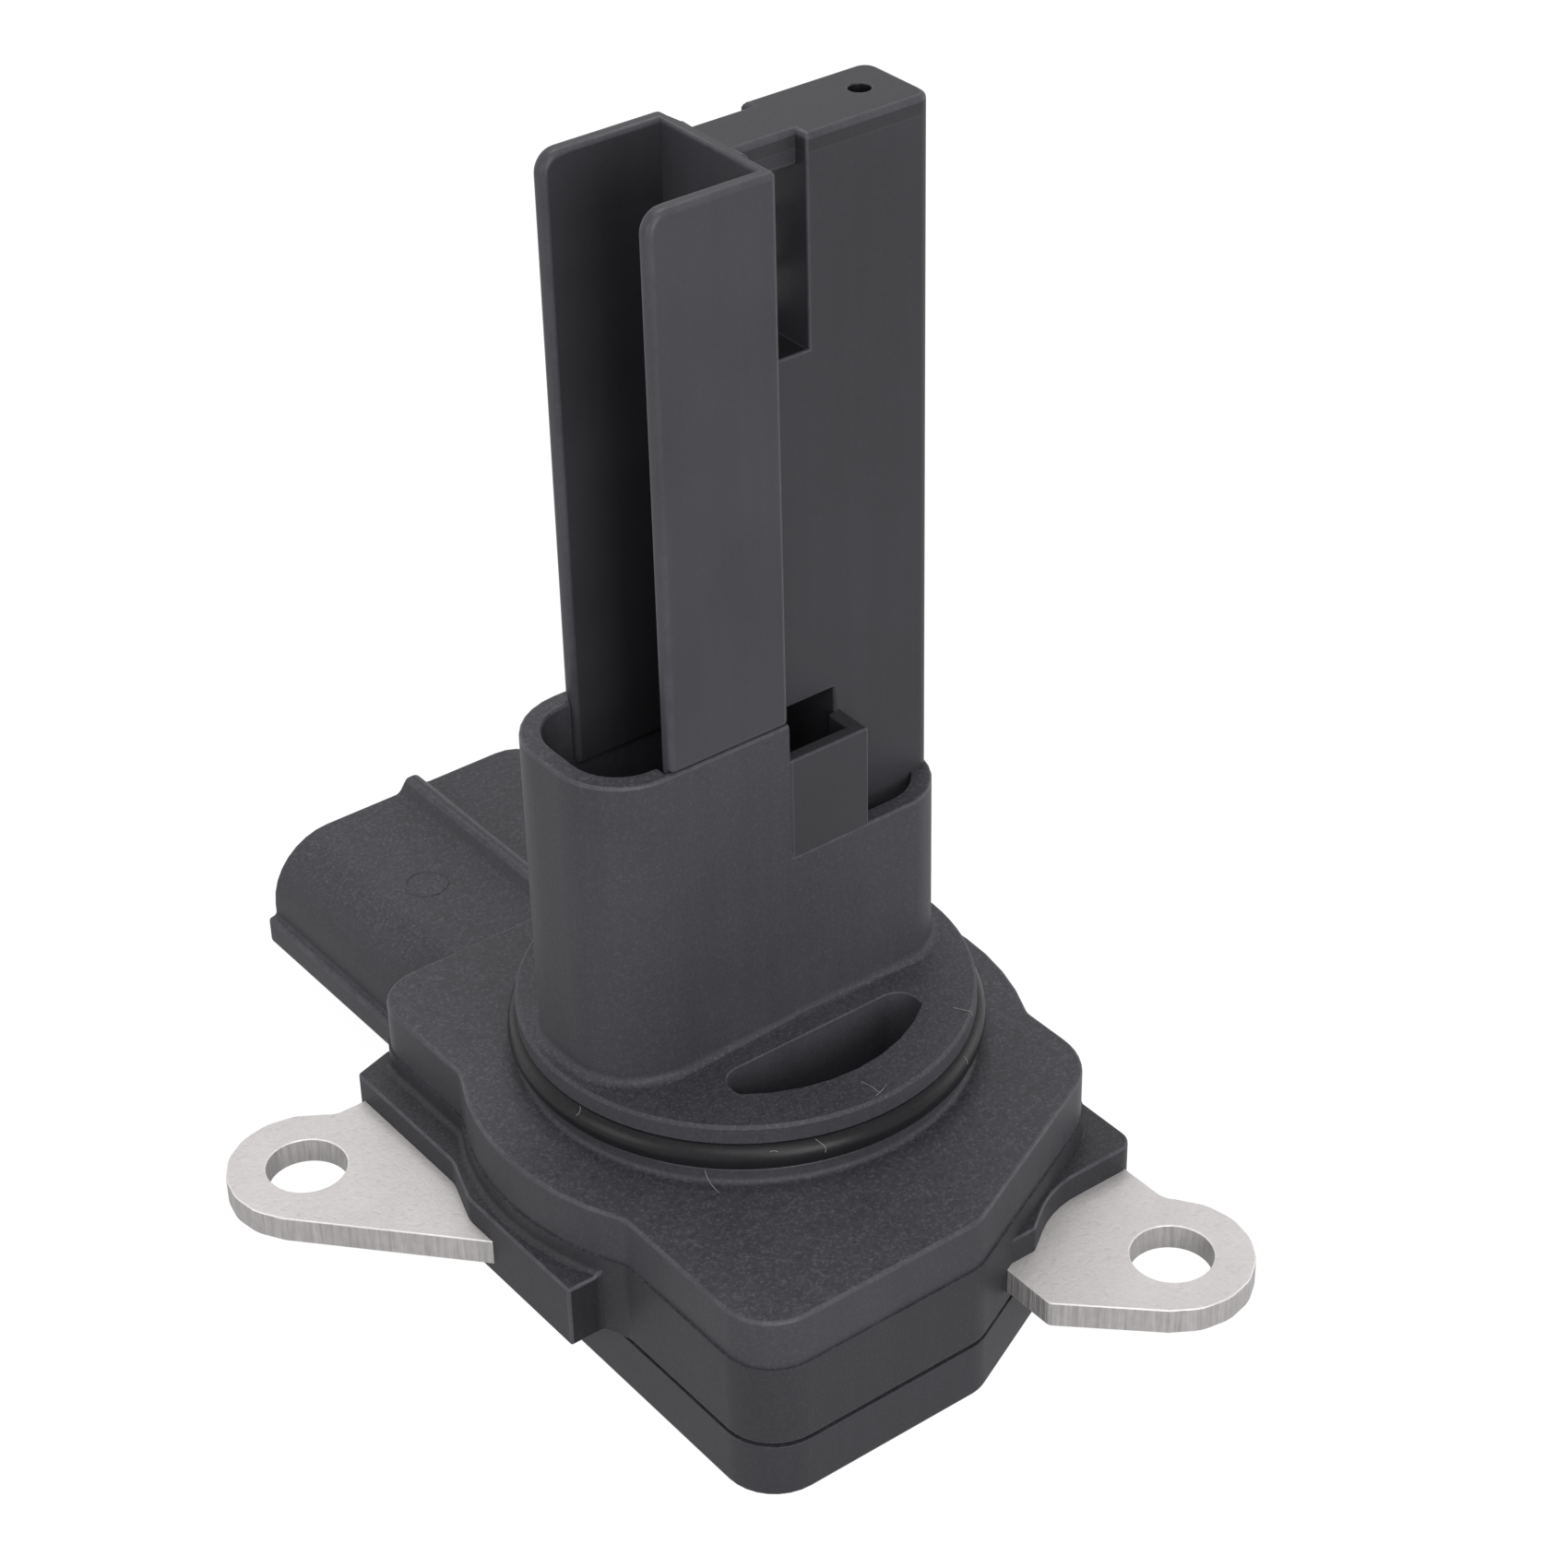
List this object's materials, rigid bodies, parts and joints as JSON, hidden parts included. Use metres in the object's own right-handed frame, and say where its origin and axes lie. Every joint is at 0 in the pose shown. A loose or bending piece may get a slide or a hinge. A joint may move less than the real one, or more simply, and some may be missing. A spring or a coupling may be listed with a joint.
{
  "type": "mass airflow sensor",
  "caption": "Plug-in mass airflow sensor: open measuring channel on a collared spigot with a ring seal, sealed electronics base, side connector shroud and metal screw tabs.",
  "frame": {"origin": "on the axis of the sealing spigot, where the rim's cylinder meets the seal groove's upper flank", "axes": "+Z along the stem, into the intake pipe; +Y out of the connector's mouth; +X to the block's end of the stem"},
  "size_m": [0.046, 0.069, 0.072],
  "materials": {
    "housing_plastic": "fine-grained charcoal black moulding",
    "duct_plastic": "smooth charcoal black moulding",
    "cover_plastic": "fine-grained charcoal black moulding",
    "sealant": "cured sealant",
    "seal_rubber": "black rubber",
    "tab_metal": "stamped plate with a dull rolled face",
    "board": "green solder mask",
    "chip_plastic": "moulded black package",
    "capacitor_body": "fired tan ceramic",
    "resistor_body": "dark ceramic",
    "holder_plastic": "black moulding",
    "lead_metal": "tinned wire",
    "element_ceramic": "white ceramic",
    "element_glass": "brown glaze",
    "bead_coat": "black dipped coat",
    "terminal_metal": "tin-plated blade"
  },
  "bodies": {
    "root": {"housing": "housing_plastic", "air_duct": "duct_plastic", "duct_rear_cover": "duct_plastic", "bottom_cover": "cover_plastic", "cover_seal": "sealant", "spigot_seal": "seal_rubber", "left_tab": "tab_metal", "right_tab": "tab_metal", "circuit_board": "board", "control_chip": "chip_plastic", "board_capacitors": "capacitor_body", "board_resistors": "resistor_body", "element_holder": "holder_plastic", "heater_leads": "lead_metal", "heated_element": "element_ceramic", "flow_temperature_leads": "lead_metal", "flow_temperature_element": "element_glass", "intake_temperature_leads": "lead_metal", "intake_temperature_bead": "bead_coat", "terminal_1": "terminal_metal", "terminal_2": "terminal_metal", "terminal_3": "terminal_metal", "terminal_4": "terminal_metal", "terminal_5": "terminal_metal"}
  },
  "joints": []
}
